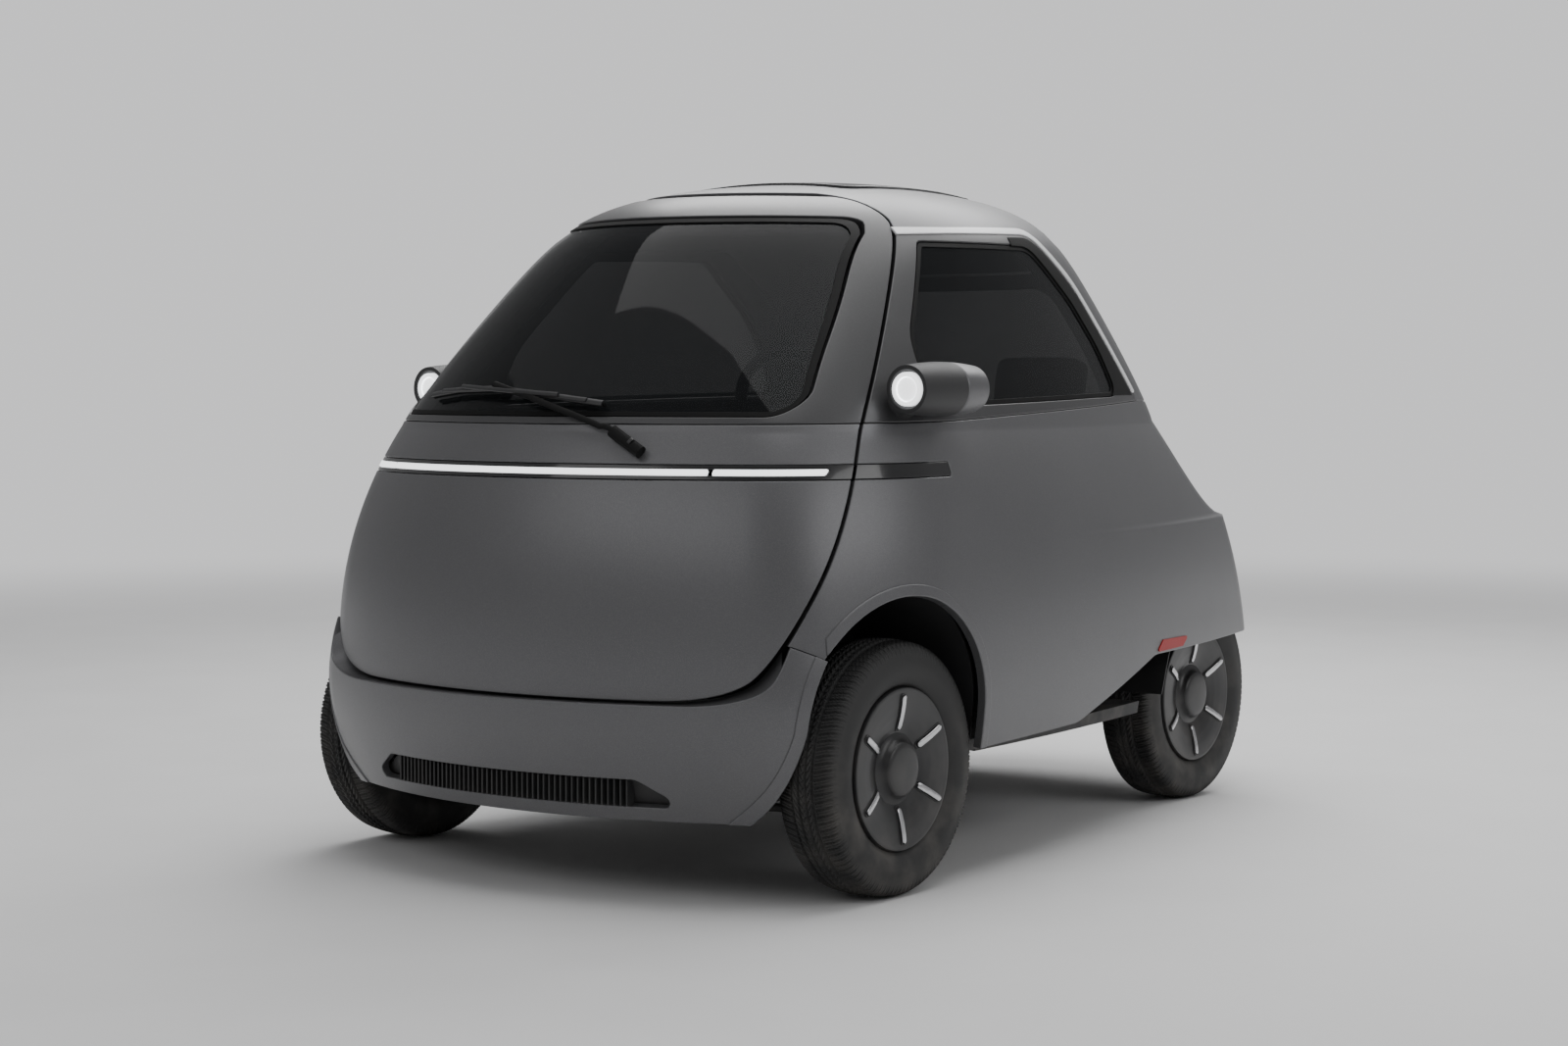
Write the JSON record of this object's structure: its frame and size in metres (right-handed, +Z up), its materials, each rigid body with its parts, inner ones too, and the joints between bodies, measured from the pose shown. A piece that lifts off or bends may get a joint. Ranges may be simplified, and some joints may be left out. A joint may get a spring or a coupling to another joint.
{
  "type": "microcar",
  "caption": "Small two-seat city car with a rounded glasshouse, a front-opening door with the windscreen in it, steered front wheels and a narrow-track rear axle.",
  "frame": {"origin": "on the ground, at the centre of the car's bounding box", "axes": "+Z up, nose towards -Y, the car's left side towards +X"},
  "size_m": [1.4706, 2.5174, 1.487],
  "materials": {
    "paint": "satin metallic",
    "dark_trim": "satin",
    "black": "gloss",
    "glass": "tinted",
    "lamp": "clear",
    "red": "clear",
    "chrome": "polished",
    "tyre": "matte",
    "wheel": "satin",
    "steel": "brushed",
    "chassis": "matte",
    "mirror": "polished",
    "fabric": "woven",
    "leather": "grained"
  },
  "bodies": {
    "body": {"floor_pan": "chassis", "side_left": "paint", "side_right": "paint", "front_bumper": "paint", "grille": "dark_trim", "roof": "paint", "window_frame_left": "dark_trim", "window_frame_right": "dark_trim", "rear_body": "paint", "side_glass_left": "glass", "side_glass_right": "glass", "side_strips": "black", "drip_strips": "chrome", "side_reflectors": "red", "tail_lamps": "red", "sunroof": "black", "front_liner_left": "dark_trim", "front_liner_right": "dark_trim", "rear_liners": "dark_trim", "front_suspension": "chassis", "rear_suspension": "chassis", "battery": "chassis", "motor": "steel", "dash": "dark_trim", "steering_column": "dark_trim", "seat_cushion": "fabric", "seat_back": "fabric", "pods": "paint", "pod_lamps": "lamp", "pod_mirrors": "mirror", "boot_floor": "dark_trim"},
    "front_door": {"door_panel": "paint", "screen_frame": "dark_trim", "windscreen": "glass", "nose_strip": "black", "light_line": "lamp", "wiper": "black"},
    "tailgate_body": {"tailgate": "paint", "rear_glass": "glass"},
    "upright_left": {"knuckle_left": "steel"},
    "upright_right": {"knuckle_right": "steel"},
    "hand_wheel": {"steering_wheel": "leather"},
    "road_wheel_fl": {"tyre_fl": "tyre", "wheel_fl": "wheel"},
    "road_wheel_fr": {"tyre_fr": "tyre", "wheel_fr": "wheel"},
    "road_wheel_rl": {"tyre_rl": "tyre", "wheel_rl": "wheel"},
    "road_wheel_rr": {"tyre_rr": "tyre", "wheel_rr": "wheel"}
  },
  "joints": [
    {"name": "front_door_hinge", "type": "hinge", "parent": "body", "child": "front_door", "pos_m": [0.69, -0.88, 0.8], "axis": [0, 0, 1], "range_deg": [0, 78]},
    {"name": "tailgate_hinge", "type": "hinge", "parent": "body", "child": "tailgate_body", "pos_m": [0, 0.548, 1.338], "axis": [1, 0, 0], "range_deg": [0, 70]},
    {"name": "steer_left", "type": "hinge", "parent": "body", "child": "upright_left", "pos_m": [0.64, -0.7895, 0.26], "axis": [0, 0, 1], "range_deg": [-26, 26]},
    {"name": "steer_right", "type": "hinge", "parent": "body", "child": "upright_right", "pos_m": [-0.64, -0.7895, 0.26], "axis": [0, 0, 1], "range_deg": [-26, 26]},
    {"name": "hand_wheel_turn", "type": "hinge", "parent": "body", "child": "hand_wheel", "pos_m": [0.3, -0.56, 0.945], "axis": [0, 0.8829, 0.4695], "range_deg": [-400, 400]},
    {"name": "wheel_fl_spin", "type": "hinge", "parent": "upright_left", "child": "road_wheel_fl", "pos_m": [0.64, -0.7895, 0.26], "axis": [1, 0, 0], "continuous": true},
    {"name": "wheel_fr_spin", "type": "hinge", "parent": "upright_right", "child": "road_wheel_fr", "pos_m": [-0.64, -0.7895, 0.26], "axis": [1, 0, 0], "continuous": true},
    {"name": "wheel_rl_spin", "type": "hinge", "parent": "body", "child": "road_wheel_rl", "pos_m": [0.448, 0.7805, 0.26], "axis": [1, 0, 0], "continuous": true},
    {"name": "wheel_rr_spin", "type": "hinge", "parent": "body", "child": "road_wheel_rr", "pos_m": [-0.448, 0.7805, 0.26], "axis": [1, 0, 0], "continuous": true}
  ],
  "couplings": [
    {"joint": "steer_right", "follows": "steer_left", "ratio": 1},
    {"joint": "hand_wheel_turn", "follows": "steer_left", "ratio": 14}
  ]
}
